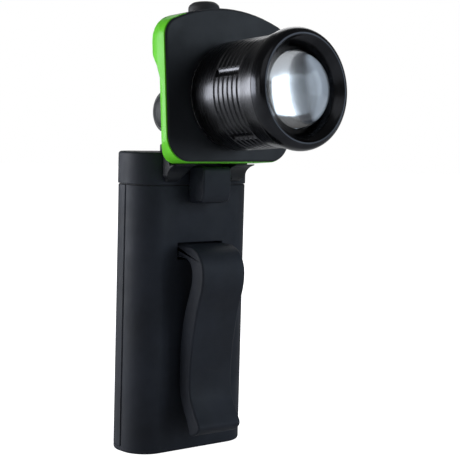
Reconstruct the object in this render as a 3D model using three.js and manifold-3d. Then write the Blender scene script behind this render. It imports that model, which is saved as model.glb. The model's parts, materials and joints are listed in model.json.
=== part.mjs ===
// Angle-head flashlight: a flat two-cell handle, a tilting head with a sliding zoom barrel,
// a belt clip, a thumb latch and a push button.
// Millimetres, +Z up. The handle stands on z = 0 with its axis at the origin, and the lens faces -Y.
import * as THREE from 'three';
import { mergeVertices } from 'three/addons/utils/BufferGeometryUtils.js';
import Module from 'manifold-3d';

const wasm = await Module();
wasm.setup();

// ---------------------------------------------------------------- driving dimensions

// Handle: a rounded block around two 18650 cells.
const HANDLE_W = 52.6;
const HANDLE_D = 22;
const HANDLE_R = 9.9;
const HANDLE_WALL = 1.8;
const FLOOR_T = 2;
const CASE_TOP = 97.5;
const SEAM_GAP = 0.3;
const CAP_BOTTOM = CASE_TOP + SEAM_GAP;
const CAP_TOP = 109.4;
const CAP_FLARE = 0.2;
const CAP_SKIRT = 5.8;
const CELL_R = 9.2;
const CELL_LEN = 65;
const CELL_X = 9.3;
const CELL_BOTTOM = 4.4;

// Belt clip: a moulded S-shaped strip on a pin in a pocket of the case.
const CLIP_HALF_W = 10;
const CLIP_AXIS_Y = -9.3;
const CLIP_AXIS_Z = 73.7;
const CLIP_PIN_R = 1;
const CLIP_PIN_HALF = 11.7;

// Thumb latch on the front of the cap.
const LATCH_HALF_W = 6.5;
const LATCH_FRONT_Y = -20;
const LATCH_BOTTOM = 91.2;
const LATCH_TOP = 104.6;

// Yoke and tilt hinge.
const PIVOT_Y = -5.2;
const PIVOT_Z = 124;
const KNUCKLE_R = 7.7;
const ARM_IN = 7.7;
const ARM_OUT = 13;
const PIVOT_PIN_R = 1.8;
const YOKE_HALF_W = 18.5;
const REST_TILT = THREE.MathUtils.degToRad(4.6);

// Head, in its own frame: origin on the tilt pivot, lens towards -y.
const HEAD_HALF_W = 28.5;
const HEAD_BOTTOM = -19.2;
const HEAD_TOP = 35.4;
const HEAD_ARCH_R = 63.6;
const HEAD_TOP_R = 7;
const HEAD_BOTTOM_R = 9.5;
const HEAD_WALL = 1.8;
const FACE_Y = -21.06;
const COVER_T = 1.9;
const COVER_RIM_T = 0.7;
const COVER_BACK_Y = FACE_Y + COVER_T;
const COVER_PLUG_TOP = 24.5;
const SHELL_Y = FACE_Y + COVER_RIM_T + 0.3;
const SWELL_Y = -18.5;
const REAR_UPPER_Y = 1.4;
const REAR_LOWER_Y = -8.6;
const LENS_Z = 3.91;

// Zoom barrel: distances behind the front rim, and radii.
const RIM_Y = -60.06;
const RIM_R = 18.4;
const BEZEL_R = 20.9;
const BEZEL_LEN = 4.8;
const BARREL_R = 19.3;
const BARREL_BORE = 17.8;
const BARREL_REAR = 38.55;
const GROOVE_COUNT = 6;
const GROOVE_FIRST = 13.5;
const GROOVE_STEP = 2.36;
const GROOVE_W = 0.8;
const GROOVE_DEPTH = 0.4;
const FLUTE_DEPTH = 0.8;
const FLUTE_R = 2.3;
const FLUTE_START = 13.5;
const FLUTE_END = 25.3;
const FLUTE_ANGLES = [160, 232, 304, 16, 88];
const GUIDE_R = 17.6;
const LENS_R = 13;
const LENS_SEAT = 5.9;
const LENS_DOME = 9.9;

// Push button on top of the head.
const BUTTON_Y = -7.6;
const BUTTON_R = 5.7;
const BUTTON_TOP = 39.4;

// Segments of a full turn, and how far a cutting box reaches past every body.
const ROUND = 36;
const MEDIUM_ROUND = 24;
const SMALL_ROUND = 16;
const REACH = 40;

// ---------------------------------------------------------------- materials

const finish = (color, roughness, metalness) => (
  new THREE.MeshStandardMaterial({ color, roughness, metalness })
);
const BLACK_PLASTIC = finish(0x22262b, 0.6, 0);
const GREEN_PLASTIC = finish(0x66c63a, 0.45, 0);
const BLACK_ANODISED = finish(0x1d1e21, 0.35, 0.9);
const BARE_ALUMINIUM = finish(0xb9bcc0, 0.35, 0.9);
const STEEL = finish(0x9a9da1, 0.3, 1);
const BRASS = finish(0xc8a35a, 0.35, 1);
const RUBBER = finish(0x151515, 0.85, 0);
const CLEAR_GLASS = finish(0xdfe8ee, 0.05, 0);
const CELL_WRAP = finish(0x2f5f9e, 0.5, 0);
const BOARD_GREEN = finish(0x1f6b3d, 0.6, 0);
const BOARD_WHITE = finish(0xe6e6e2, 0.5, 0);
const EMITTER_YELLOW = finish(0xe8c93a, 0.5, 0);

// ---------------------------------------------------------------- solids from three.js geometry

// A closed geometry as a solid, whichever way its faces were wound.
function solid(geometry) {
  const bare = geometry.clone();
  bare.deleteAttribute('normal');
  bare.deleteAttribute('uv');
  const merged = mergeVertices(bare, 1e-4);
  const position = merged.attributes.position;
  const triangles = [];
  const [a, b, c] = [new THREE.Vector3(), new THREE.Vector3(), new THREE.Vector3()];
  let volume = 0;
  for (let i = 0; i < merged.index.count; i += 3) {
    const corner = [0, 1, 2].map((k) => merged.index.getX(i + k));
    if (new Set(corner).size < 3) continue;
    [a, b, c].forEach((point, k) => point.fromBufferAttribute(position, corner[k]));
    volume += a.dot(b.cross(c));
    triangles.push(corner);
  }
  const wound = volume < 0 ? triangles.map(([i, j, k]) => [i, k, j]) : triangles;
  return new wasm.Manifold(new wasm.Mesh({
    numProp: 3,
    vertProperties: Float32Array.from(position.array),
    triVerts: Uint32Array.from(wound.flat()),
  }));
}

const join = (first, ...rest) => rest.reduce((sum, piece) => sum.add(piece), first);
const cut = (first, ...rest) => rest.reduce((left, piece) => left.subtract(piece), first);

// A named mesh from a solid.
function part(name, body, material) {
  const { vertProperties, triVerts } = body.getMesh();
  const geometry = new THREE.BufferGeometry();
  geometry.setAttribute('position', new THREE.BufferAttribute(vertProperties, 3));
  geometry.setIndex(new THREE.BufferAttribute(triVerts, 1));
  geometry.computeVertexNormals();
  const mesh = new THREE.Mesh(geometry, material);
  mesh.name = name;
  return mesh;
}

function box(x0, x1, y0, y1, z0, z1) {
  const geometry = new THREE.BoxGeometry(x1 - x0, y1 - y0, z1 - z0);
  return solid(geometry.translate((x0 + x1) / 2, (y0 + y1) / 2, (z0 + z1) / 2));
}

// An outline in (x, y), raised from z0 to z1.
function prismZ(shape, z0, z1, curveSegments = 8) {
  const options = { depth: z1 - z0, bevelEnabled: false, curveSegments };
  const geometry = new THREE.ExtrudeGeometry(shape, options);
  return solid(geometry.translate(0, 0, z0));
}

// An outline in (y, z), drawn out from x0 to x1.
function prismX(shape, x0, x1, curveSegments = 8) {
  const options = { depth: x1 - x0, bevelEnabled: false, curveSegments };
  const geometry = new THREE.ExtrudeGeometry(shape, options);
  const turn = new THREE.Matrix4().set(0, 0, 1, x0, 1, 0, 0, 0, 0, 1, 0, 0, 0, 0, 0, 1);
  return solid(geometry.applyMatrix4(turn));
}

// An outline in (x, z), drawn out from y0 to y1.
function prismY(shape, y0, y1, curveSegments = 8) {
  const options = { depth: y1 - y0, bevelEnabled: false, curveSegments };
  const geometry = new THREE.ExtrudeGeometry(shape, options);
  return solid(geometry.rotateX(Math.PI / 2).translate(0, y1, 0));
}

// A profile of [radius, height] points turned about an axis through (x, y, z).
const AXIS_TURN = {
  x: (geometry) => geometry.rotateZ(-Math.PI / 2),
  y: (geometry) => geometry,
  z: (geometry) => geometry.rotateX(Math.PI / 2),
};

function turned(profile, axis, [x, y, z], segments = SMALL_ROUND) {
  const points = profile.map(([r, h]) => new THREE.Vector2(r, h));
  const geometry = new THREE.LatheGeometry(points, segments);
  return solid(AXIS_TURN[axis](geometry).translate(x, y, z));
}

function rod(r, h0, h1, axis, centre, segments) {
  return turned([[0, h0], [r, h0], [r, h1], [0, h1]], axis, centre, segments);
}

function ring(inner, outer, h0, h1, axis, centre, segments) {
  return turned([[inner, h0], [outer, h0], [outer, h1], [inner, h1], [inner, h0]], axis, centre, segments);
}

// A rounded rectangle about the origin.
function roundedRect(width, depth, radius, cx = 0, cy = 0) {
  const [x, y, r] = [width / 2, depth / 2, radius];
  const shape = new THREE.Shape();
  shape.absarc(cx + x - r, cy + y - r, r, 0, Math.PI / 2);
  shape.absarc(cx - x + r, cy + y - r, r, Math.PI / 2, Math.PI);
  shape.absarc(cx - x + r, cy - y + r, r, Math.PI, Math.PI * 1.5);
  shape.absarc(cx + x - r, cy - y + r, r, Math.PI * 1.5, Math.PI * 2);
  shape.closePath();
  return shape;
}

const polygon = (points) => new THREE.Shape(points.map(([u, v]) => new THREE.Vector2(u, v)));

// A screw with a pan head and a crossed slot; the head's top is at h = 0 and the shank runs to -length.
function screw(axis, centre, headR, headH, shankR, length) {
  const profile = [
    [0, -length], [shankR, -length], [shankR, -headH], [headR, -headH], [headR, -0.3], [headR - 0.4, 0], [0, 0],
  ];
  const body = turned(profile, axis, centre, 12);
  const [x, y, z] = centre;
  const slotL = headR * 0.55;
  const slotW = headR * 0.13;
  const deep = headH * 0.5;
  if (axis === 'z') {
    return cut(body, box(x - slotL, x + slotL, y - slotW, y + slotW, z - deep, z + 1),
      box(x - slotW, x + slotW, y - slotL, y + slotL, z - deep, z + 1));
  }
  return cut(body, box(x - slotL, x + slotL, y - deep, y + 1, z - slotW, z + slotW),
    box(x - slotW, x + slotW, y - deep, y + 1, z - slotL, z + slotL));
}

// ---------------------------------------------------------------- handle

const handleOutline = (inset) => (
  roundedRect(HANDLE_W - 2 * inset, HANDLE_D - 2 * inset, HANDLE_R - inset)
);

const CASE_SCREWS = [[-21.8, 12], [21.8, 12], [-21.8, 84], [21.8, 84]];
const CASE_SCREW_SEAT = 6;
const CASE_PARTING = 0.2;
const CASE_GROOVE_DEPTH = 0.45;

function caseBody() {
  const edge = 1;
  const geometry = new THREE.ExtrudeGeometry(handleOutline(edge), {
    depth: CASE_TOP + 10,
    bevelEnabled: true,
    bevelSize: edge,
    bevelThickness: edge,
    bevelSegments: 2,
    curveSegments: 8,
  });
  const outer = solid(geometry.translate(0, 0, edge)).intersect(box(-REACH, REACH, -20, 20, -1, CASE_TOP));
  const hollow = prismZ(handleOutline(HANDLE_WALL), FLOOR_T, CASE_TOP + 1);
  const slot = box(-REACH, REACH, -CASE_PARTING, CASE_PARTING, FLOOR_T + 0.4, CASE_TOP + 1);
  const groove = slot.subtract(prismZ(handleOutline(CASE_GROOVE_DEPTH), -1, CASE_TOP + 2));
  return cut(outer, hollow, groove);
}

function clipPocket() {
  const [half, wall] = [CLIP_HALF_W + 0.4, 2.4];
  const front = -HANDLE_D / 2;
  const pinHalf = CLIP_PIN_HALF + 0.2;
  const centre = [0, CLIP_AXIS_Y, CLIP_AXIS_Z];
  return {
    walls: box(-half - wall, half + wall, front + 0.5, -5.5, CLIP_AXIS_Z - 4, CLIP_AXIS_Z + 4.2),
    hollow: box(-half, half, front - 1, -6.4, CLIP_AXIS_Z - 3, CLIP_AXIS_Z + 3),
    pinHole: rod(CLIP_PIN_R + 0.04, -pinHalf, pinHalf, 'x', centre),
  };
}

function caseFront() {
  const pocket = clipPocket();
  const half = box(-REACH, REACH, -20, 0, -1, 120).add(box(-REACH, REACH, -1, 20, -1, FLOOR_T));
  let body = caseBody().intersect(half).add(pocket.walls);
  for (const [x, z] of CASE_SCREWS) {
    const inside = prismZ(handleOutline(0.8), FLOOR_T - 0.5, CASE_TOP);
    const boss = rod(2.5, -9.4, 0, 'y', [x, 0, z]).intersect(inside);
    body = body.add(boss).subtract(rod(1.05, -7.4, 1, 'y', [x, 0, z]));
  }
  return part('case_front', cut(body, pocket.hollow, pocket.pinHole), BLACK_PLASTIC);
}

function caseRear() {
  let body = caseBody().intersect(box(-REACH, REACH, 0, 20, FLOOR_T, 120));
  for (const [x, z] of CASE_SCREWS) {
    const inside = prismZ(handleOutline(0.8), FLOOR_T, CASE_TOP);
    const boss = rod(2.9, 0, 10, 'y', [x, 0, z]).intersect(inside);
    const hole = rod(1.15, -1, 10, 'y', [x, 0, z]);
    body = cut(body.add(boss), hole, rod(2.35, CASE_SCREW_SEAT, 20, 'y', [x, 0, z]));
  }
  return part('case_rear', body, BLACK_PLASTIC);
}

function caseScrews() {
  return CASE_SCREWS.map(([x, z], i) => (
    part(`case_screw_${i + 1}`, screw('y', [x, CASE_SCREW_SEAT + 1.6, z], 2.1, 1.5, 0.95, 13.5), STEEL)
  ));
}

function cell(side, x) {
  const [base, top] = [CELL_BOTTOM, CELL_BOTTOM + CELL_LEN];
  const profile = [
    [0, base], [CELL_R - 0.6, base], [CELL_R, base + 0.6], [CELL_R, top - 2.2], [CELL_R - 0.7, top - 1.4],
    [3, top - 1.4], [2.7, top], [0, top],
  ];
  return part(`cell_${side}`, turned(profile, 'z', [x, 0, 0], 32), CELL_WRAP);
}

function contactStrip() {
  const shape = roundedRect(4 * CELL_X + 2, 8, 2);
  return part('contact_strip', prismZ(shape, FLOOR_T, FLOOR_T + 0.4, 4), BRASS);
}

// A conical contact spring under a cell.
class SpringCurve extends THREE.Curve {
  constructor(x, z0, z1) {
    super();
    Object.assign(this, { x, z0, z1 });
  }

  getPoint(t, target = new THREE.Vector3()) {
    const turn = t * Math.PI * 2 * 2.5;
    const r = 3.6 - 1.4 * t;
    const z = THREE.MathUtils.lerp(this.z0, this.z1, t);
    return target.set(this.x + r * Math.cos(turn), r * Math.sin(turn), z);
  }
}

function contactSpring(side, x) {
  const wire = 0.25;
  const path = new SpringCurve(x, FLOOR_T + 0.45 + wire, CELL_BOTTOM - 0.05 - wire);
  const section = new THREE.Shape().absarc(0, 0, wire, 0, Math.PI * 2);
  const geometry = new THREE.ExtrudeGeometry(section, { steps: 30, extrudePath: path, curveSegments: 2 });
  return part(`contact_spring_${side}`, solid(geometry), STEEL);
}

function terminalBoard() {
  const z = CELL_BOTTOM + CELL_LEN + 0.3;
  return part('terminal_board', prismZ(roundedRect(38, 12.6, 4, 0, 1.2), z, z + 1.4, 4), BOARD_GREEN);
}

function powerModule() {
  const base = CELL_BOTTOM + CELL_LEN + 1.8;
  return part('power_module', prismZ(roundedRect(28, 10.6, 1.5, 0, 1), base, base + 18, 4), BOARD_GREEN);
}

// ---------------------------------------------------------------- cap

const capOutline = (inset) => handleOutline(inset - CAP_FLARE);
const LATCH_SLOT_HALF = 3.1;
const LATCH_SLOT = [99, 104];
const YOKE_SCREWS = [-9.6, 9.6];
const YOKE_SCREW_Y = -1.4;
const YOKE_TOP = 112;

function topCap() {
  const edge = 0.9;
  const geometry = new THREE.ExtrudeGeometry(capOutline(edge), {
    depth: CAP_TOP - CAP_BOTTOM - edge,
    bevelEnabled: true,
    bevelSize: edge,
    bevelThickness: edge,
    bevelSegments: 2,
    curveSegments: 8,
  });
  const outer = solid(geometry.translate(0, 0, CAP_BOTTOM))
    .intersect(box(-REACH, REACH, -20, 20, CAP_BOTTOM, CAP_TOP));
  const skirt = prismZ(handleOutline(HANDLE_WALL + 0.2), CAP_BOTTOM - CAP_SKIRT, CAP_BOTTOM + 0.5);
  const hollow = prismZ(handleOutline(HANDLE_WALL + 1.6), CAP_BOTTOM - CAP_SKIRT - 1, CAP_TOP - 2);
  const slot = box(-LATCH_SLOT_HALF, LATCH_SLOT_HALF, -15, -5, ...LATCH_SLOT);
  const holes = YOKE_SCREWS.map((x) => rod(1.1, 100, 120, 'z', [x, YOKE_SCREW_Y, 0]));
  return part('top_cap', cut(join(outer, skirt), hollow, slot, ...holes), BLACK_PLASTIC);
}

function capSeal() {
  const outer = prismZ(handleOutline(0.5), CASE_TOP, CAP_BOTTOM);
  return part('cap_seal', outer.subtract(prismZ(handleOutline(HANDLE_WALL), 90, 100)), RUBBER);
}

function thumbLatch() {
  const front = polygon([
    [-HANDLE_D / 2 - 0.5, LATCH_BOTTOM], [-15.5, LATCH_BOTTOM], [LATCH_FRONT_Y + 1.2, LATCH_BOTTOM + 0.6],
    [LATCH_FRONT_Y, LATCH_BOTTOM + 3.2], [LATCH_FRONT_Y, LATCH_TOP - 1], [LATCH_FRONT_Y + 1, LATCH_TOP],
    [-HANDLE_D / 2 - 0.5, LATCH_TOP],
  ]);
  const height = LATCH_TOP - LATCH_BOTTOM + 4;
  const outline = roundedRect(2 * LATCH_HALF_W, height, 1.6, 0, LATCH_BOTTOM + height / 2);
  const block = prismX(front, -LATCH_HALF_W, LATCH_HALF_W).intersect(prismY(outline, -30, 0, 3));
  const neckHalf = LATCH_SLOT_HALF - 0.2;
  const [neckBottom, neckTop] = [LATCH_SLOT[1] - 2.6, LATCH_SLOT[1] - 0.2];
  const neck = box(-neckHalf, neckHalf, -12, -7.5, neckBottom, neckTop);
  const foot = box(-5, 5, -7.5, -6.5, neckBottom, neckTop);
  return part('thumb_latch', join(block, neck, foot), BLACK_PLASTIC);
}

// ---------------------------------------------------------------- belt clip

function beltClip() {
  const shape = new THREE.Shape();
  shape.moveTo(-9.4, CLIP_AXIS_Z + 2.3);
  shape.splineThru([
    [-14, 76.2], [-18.4, 75.7], [-21.6, 74], [-24, 70.8], [-25.1, 66.6], [-24.6, 60.6], [-22, 51.9],
    [-19.7, 39.3], [-18.9, 29.2], [-19.3, 21.9], [-21.8, 16.5], [-24.6, 11.9],
  ].map(([y, z]) => new THREE.Vector2(y, z)));
  shape.splineThru([
    [-24.7, 10.3], [-23, 8.4], [-20.2, 7.4], [-19, 8.6],
  ].map(([y, z]) => new THREE.Vector2(y, z)));
  shape.splineThru([
    [-17.8, 11.8], [-15.3, 16.6], [-13.3, 22], [-12.8, 30], [-12.9, 39], [-14.5, 50], [-17.1, 58.5],
    [-18.6, 64], [-17.8, 69], [-14.6, 71.4], [-9.4, CLIP_AXIS_Z - 2.3],
  ].map(([y, z]) => new THREE.Vector2(y, z)));
  shape.closePath();
  const knuckle = rod(2.5, -CLIP_HALF_W, CLIP_HALF_W, 'x', [0, CLIP_AXIS_Y, CLIP_AXIS_Z], MEDIUM_ROUND);
  const bore = rod(CLIP_PIN_R + 0.06, -20, 20, 'x', [0, CLIP_AXIS_Y, CLIP_AXIS_Z]);
  const channelHalf = CLIP_HALF_W - 2.4;
  const channel = prismX(polygon([
    [-9, 59], [-21.8, 59], [-19.2, 50.5], [-17.1, 39], [-16.3, 29.5], [-16.8, 22], [-18.4, 17.5], [-9, 17.5],
  ]), -channelHalf, channelHalf);
  const body = join(prismX(shape, -CLIP_HALF_W, CLIP_HALF_W, 4), knuckle);
  return part('belt_clip', cut(body, channel, bore), BLACK_PLASTIC);
}

const clipPin = () => (
  part('clip_pin', rod(CLIP_PIN_R, -CLIP_PIN_HALF, CLIP_PIN_HALF, 'x', [0, CLIP_AXIS_Y, CLIP_AXIS_Z]), STEEL)
);

// ---------------------------------------------------------------- yoke

// The two front wings flare forward from the cap's face to cradle the head's lower edge.
function yokeWing(side) {
  const profile = new THREE.Shape();
  const backY = -HANDLE_D / 2 - CAP_FLARE - 0.05;
  profile.moveTo(backY, 98.6);
  profile.quadraticCurveTo(-13.8, 99.4, -14.2, 101.4);
  profile.quadraticCurveTo(-14.9, 104.1, -19.1, 105.1);
  profile.lineTo(-19.1, 105.5);
  profile.lineTo(-15.4, 105.2);
  profile.lineTo(-14.6, 106.4);
  profile.lineTo(-14.2, YOKE_TOP);
  profile.lineTo(backY, YOKE_TOP);
  profile.closePath();
  const [inner, low, outer] = [9.2 * side, 12 * side, YOKE_HALF_W * side];
  const outline = polygon([
    [low, 99], [outer - side, 99], [outer - side, 100.1], [outer, 101], [outer, 120], [inner, 120],
    [inner, 102.8], [low, 100.1],
  ]);
  return prismX(profile, -20, 20, 6).intersect(prismY(outline, -30, 0));
}

function yoke() {
  const plan = polygon([
    [-YOKE_HALF_W, -14.2], [-YOKE_HALF_W, -10.8], [-12.8, -3.4], [-12.8, -2.6], [-8, 4], [8, 4],
    [12.8, -2.6], [12.8, -3.4], [YOKE_HALF_W, -10.8], [YOKE_HALF_W, -14.2],
  ]);
  const arm = new THREE.Shape();
  arm.moveTo(-11.6, YOKE_TOP - 0.5);
  arm.lineTo(-3.7, YOKE_TOP - 0.5);
  arm.lineTo(-3.7, 116.6);
  arm.absarc(PIVOT_Y, PIVOT_Z, KNUCKLE_R, -Math.PI * 0.38, Math.PI * 1.28);
  arm.lineTo(-11.6, 116.6);
  arm.closePath();
  let body = join(prismZ(plan, CAP_TOP, YOKE_TOP), yokeWing(-1), yokeWing(1));
  body = join(body, prismX(arm, -ARM_OUT, -ARM_IN, 20), prismX(arm, ARM_IN, ARM_OUT, 20));
  const pinBore = rod(PIVOT_PIN_R + 0.05, -20, 20, 'x', [0, PIVOT_Y, PIVOT_Z], MEDIUM_ROUND);
  const screwHoles = YOKE_SCREWS.map((x) => rod(1.1, 100, 120, 'z', [x, YOKE_SCREW_Y, 0]));
  const seats = YOKE_SCREWS.map((x) => rod(2.05, YOKE_TOP - 1.1, 120, 'z', [x, YOKE_SCREW_Y, 0]));
  return part('yoke', cut(body, pinBore, ...screwHoles, ...seats), BLACK_PLASTIC);
}

function yokeScrews() {
  return YOKE_SCREWS.map((x, i) => (
    part(`yoke_screw_${i + 1}`, screw('z', [x, YOKE_SCREW_Y, YOKE_TOP + 0.3], 1.85, 1.35, 0.95, 8), STEEL)
  ));
}

const pivotPin = () => part('pivot_pin', rod(PIVOT_PIN_R, -13, 13, 'x', [0, PIVOT_Y, PIVOT_Z], 24), STEEL);

// Domed caps that cover the ends of the pivot pin.
function pinCap(side, sign) {
  const x = sign * ARM_OUT;
  const dome = [[0, 0], [6.4, 0], [6.2, 0.6], [5.2, 1.2], [3.2, 1.7], [0, 1.9]];
  const profile = dome.map(([r, h]) => [r, x + sign * h]);
  return part(`pin_cap_${side}`, turned(profile, 'x', [0, PIVOT_Y, PIVOT_Z], 32), BLACK_PLASTIC);
}

// ---------------------------------------------------------------- head shell, in the head's frame

// The head's front outline in (x, z): flat sides, rounded corners and an arched top.
function headOutline(inset) {
  const half = HEAD_HALF_W - inset;
  const bottom = HEAD_BOTTOM + inset;
  const low = HEAD_BOTTOM_R - inset;
  const high = HEAD_TOP_R - inset;
  const arch = HEAD_ARCH_R - inset;
  const archZ = HEAD_TOP - HEAD_ARCH_R;
  const cornerX = half - high;
  const cornerZ = archZ + Math.sqrt((arch - high) ** 2 - cornerX ** 2);
  const lean = Math.atan2(cornerZ - archZ, cornerX);
  const shape = new THREE.Shape();
  shape.absarc(half - low, bottom + low, low, -Math.PI / 2, 0);
  shape.absarc(cornerX, cornerZ, high, 0, lean);
  shape.absarc(0, archZ, arch, lean, Math.PI - lean);
  shape.absarc(-cornerX, cornerZ, high, Math.PI - lean, Math.PI);
  shape.absarc(-half + low, bottom + low, low, Math.PI, Math.PI * 1.5);
  shape.closePath();
  return shape;
}

// The plan outline in (x, y): straight sides, then a half ellipse swelling back to rearY.
function headPlan(inset, rearY) {
  const shape = new THREE.Shape();
  shape.moveTo(-HEAD_HALF_W + inset, FACE_Y - 5);
  shape.lineTo(HEAD_HALF_W - inset, FACE_Y - 5);
  shape.absellipse(0, SWELL_Y, HEAD_HALF_W - inset, rearY - SWELL_Y - inset, 0, Math.PI);
  shape.closePath();
  return shape;
}

// The underside of the deep upper housing as [y, z] points: it rises backwards over the hinge.
const HOUSING_UNDERSIDE = [
  [-30, -19], [-17, 10.5], [-15.2, 14.2], [-13, 16.4], [-10.5, 18.2], [-8.5, 19], [-6, 19.4],
  [REAR_UPPER_Y, 20],
];
const HOUSING_LEVELS = [-26, -18.5, -16.6, -15.2, -13, -10.5, -8.5, -6, -3.3, -1.2, 0, 0.8, REAR_UPPER_Y];
const HOUSING_REAR_R = 4;
const HOUSING_CORNER_GROWTH = 5;
const HOUSING_CORNER_STEPS = 5;

function undersideZ(y) {
  const next = HOUSING_UNDERSIDE.findIndex(([level]) => level >= y);
  const [y1, z1] = HOUSING_UNDERSIDE[Math.max(next, 1)];
  const [y0, z0] = HOUSING_UNDERSIDE[Math.max(next, 1) - 1];
  return z0 + (z1 - z0) * (y - y0) / (y1 - y0);
}

// The outline of the upper housing at one depth: it narrows, and its corners open, towards the rear.
function housingSection(y, inset) {
  const depth = REAR_UPPER_Y - SWELL_Y;
  const t = Math.min(Math.max((y - SWELL_Y) / depth, 0), 0.985);
  const half = HEAD_HALF_W * Math.sqrt(1 - t * t) - inset;
  const past = Math.max(0, y - REAR_UPPER_Y + HOUSING_REAR_R);
  const drop = HOUSING_REAR_R - Math.sqrt(Math.max(HOUSING_REAR_R ** 2 - past ** 2, 0));
  const corner = Math.min(HEAD_TOP_R + HOUSING_CORNER_GROWTH * t, half) - inset * 0.5;
  const arch = HEAD_ARCH_R - inset;
  const archZ = HEAD_TOP - HEAD_ARCH_R - drop;
  const cornerX = half - corner;
  const cornerZ = archZ + Math.sqrt((arch - corner) ** 2 - cornerX ** 2);
  const lean = Math.atan2(cornerZ - archZ, cornerX);
  const depthY = Math.min(y, REAR_UPPER_Y - inset);
  const right = [[half, undersideZ(y) + inset]];
  for (let i = 0; i <= HOUSING_CORNER_STEPS; i += 1) {
    const a = lean * i / HOUSING_CORNER_STEPS;
    right.push([cornerX + corner * Math.cos(a), cornerZ + corner * Math.sin(a)]);
  }
  for (let i = 1; i < HOUSING_CORNER_STEPS; i += 1) {
    const a = lean + (Math.PI / 2 - lean) * i / HOUSING_CORNER_STEPS;
    right.push([arch * Math.cos(a), archZ + arch * Math.sin(a)]);
  }
  const left = right.map(([x, z]) => [-x, z]).reverse();
  return [...right, ...left].map(([x, z]) => [x, depthY, z]);
}

// A closed body through rings of points, each ring convex and with as many points as the others.
function loft(rings) {
  const count = rings[0].length;
  const faces = [];
  for (let k = 1; k < count - 1; k += 1) {
    const end = (rings.length - 1) * count;
    faces.push(0, k + 1, k, end, end + k, end + k + 1);
  }
  for (let i = 0; i < rings.length - 1; i += 1) {
    for (let k = 0; k < count; k += 1) {
      const [a, b] = [i * count + k, i * count + ((k + 1) % count)];
      faces.push(a, b, b + count, a, b + count, a + count);
    }
  }
  const geometry = new THREE.BufferGeometry();
  geometry.setAttribute('position', new THREE.Float32BufferAttribute(rings.flat(2), 3));
  return solid(geometry.setIndex(faces));
}

// The whole head form, shrunk by an inset, from frontY to its back.
function headForm(inset, frontY) {
  const outline = prismY(headOutline(inset), frontY, 10, 7);
  const lower = prismZ(headPlan(inset, REAR_LOWER_Y), -30, 50, 12);
  const levels = HOUSING_LEVELS.filter((y) => y < REAR_UPPER_Y - inset - 0.2);
  const upper = loft([...levels, REAR_UPPER_Y - inset].map((y) => housingSection(y, inset)));
  return outline.intersect(lower.add(upper));
}

const HEAD_SCREWS = [[-20.5, -12, -14.6], [20.5, -12, -14.6], [-20.5, 22.5, -9.5], [20.5, 22.5, -9.5]];
const TOP_PANEL_HALF = 18.2;
const TOP_PANEL_Y = [SHELL_Y - 0.3, 0.2];
const TOP_PANEL_T = 3.2;
const BUTTON_FLANGE_TOP = HEAD_TOP - TOP_PANEL_T - 0.9;
const HINGE_SCREW_Z = [-4.6, 4.6];
const BOSS_END_Y = COVER_BACK_Y + 2.6;

function frontCover() {
  const edge = 1.1;
  const geometry = new THREE.ExtrudeGeometry(headOutline(edge), {
    depth: 2,
    bevelEnabled: true,
    bevelSize: edge,
    bevelThickness: edge,
    bevelSegments: 2,
    curveSegments: 7,
  });
  const plate = solid(geometry.rotateX(Math.PI / 2).translate(0, FACE_Y + edge + 2, 0))
    .intersect(box(-REACH, REACH, FACE_Y - 1, FACE_Y + COVER_RIM_T, -40, 50));
  const plug = prismY(headOutline(HEAD_WALL + 0.3), FACE_Y + COVER_RIM_T - 0.2, COVER_BACK_Y, 7)
    .intersect(box(-REACH, REACH, FACE_Y, COVER_BACK_Y, -40, COVER_PLUG_TOP));
  let body = plate.add(plug).subtract(rod(GUIDE_R + 0.3, -10, 10, 'y', [0, FACE_Y, LENS_Z], ROUND));
  for (const [x, z] of HEAD_SCREWS) {
    const boss = rod(2.6, FACE_Y + 1, BOSS_END_Y - 0.4, 'y', [x, 0, z]);
    body = body.add(boss).subtract(rod(1.05, FACE_Y + 0.9, 0, 'y', [x, 0, z]));
  }
  return part('front_cover', body, BLACK_PLASTIC);
}

function rearShell() {
  const shell = headForm(0, SHELL_Y).subtract(headForm(HEAD_WALL, FACE_Y - 3));
  const window = box(-TOP_PANEL_HALF, TOP_PANEL_HALF, FACE_Y - 3, TOP_PANEL_Y[1], 26, 40);
  let body = shell.subtract(window.subtract(headForm(HEAD_WALL + 0.6, FACE_Y - 5)));
  for (const [x, z, seat] of HEAD_SCREWS) {
    const column = rod(3.2, BOSS_END_Y, 10, 'y', [x, 0, z]).intersect(headForm(0.6, FACE_Y));
    body = body.add(column);
    body = cut(body, rod(1.2, -30, 10, 'y', [x, 0, z]), rod(2.3, seat, 20, 'y', [x, 0, z]));
  }
  for (const z of HINGE_SCREW_Z) body = body.subtract(rod(1.15, -14, 0, 'y', [0, 0, z]));
  return part('rear_shell', body, GREEN_PLASTIC);
}

function topPanel() {
  const gap = 0.3;
  const [y0, y1] = TOP_PANEL_Y;
  const lip = 1.6;
  const bottom = 26.5;
  const outside = box(-TOP_PANEL_HALF + gap, TOP_PANEL_HALF - gap, y0 + gap, y1 - gap, bottom, REACH);
  const under = box(-TOP_PANEL_HALF - lip, TOP_PANEL_HALF + lip, y0 + gap, y1 + 0.2, bottom, REACH);
  const plate = headForm(0, SHELL_Y).intersect(outside);
  const flange = headForm(HEAD_WALL + gap, SHELL_Y).intersect(under);
  const hole = rod(BUTTON_R + 0.3, 20, 50, 'z', [0, BUTTON_Y, 0], 32);
  const seat = rod(BUTTON_R + 1, 20, BUTTON_FLANGE_TOP + 0.3, 'z', [0, BUTTON_Y, 0], 32);
  const inside = headForm(TOP_PANEL_T, SHELL_Y - 4);
  return part('top_panel', cut(join(plate, flange), inside, hole, seat), BLACK_PLASTIC);
}

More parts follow.
